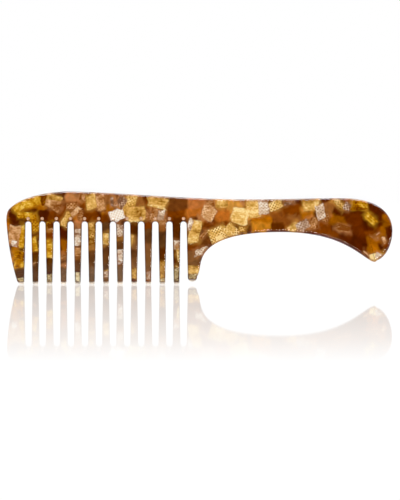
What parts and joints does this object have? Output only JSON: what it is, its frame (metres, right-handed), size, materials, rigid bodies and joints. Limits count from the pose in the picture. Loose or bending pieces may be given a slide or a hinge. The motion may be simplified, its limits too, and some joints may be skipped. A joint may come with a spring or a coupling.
{
  "type": "hair comb",
  "caption": "Wide-tooth detangling comb with a curved handle, sawn from one flat sheet of amber and gold mosaic acetate.",
  "frame": {"origin": "centre of the box around the comb, on the plane of the tooth tips", "axes": "+X along the comb, from the front guard tooth to the end of the handle; +Y through the sheet, from the face that the picture shows to the other; +Z from the tooth tips up to the spine"},
  "size_m": [0.19, 0.0044, 0.0456],
  "materials": {
    "acetate": "gloss"
  },
  "bodies": {
    "root": {"spine": "acetate", "handle": "acetate", "front_guard": "acetate", "rear_guard": "acetate", "tooth_02": "acetate", "tooth_03": "acetate", "tooth_04": "acetate", "tooth_05": "acetate", "tooth_06": "acetate", "tooth_07": "acetate", "tooth_08": "acetate", "tooth_09": "acetate", "tooth_10": "acetate", "tooth_11": "acetate", "tooth_12": "acetate"}
  },
  "joints": []
}
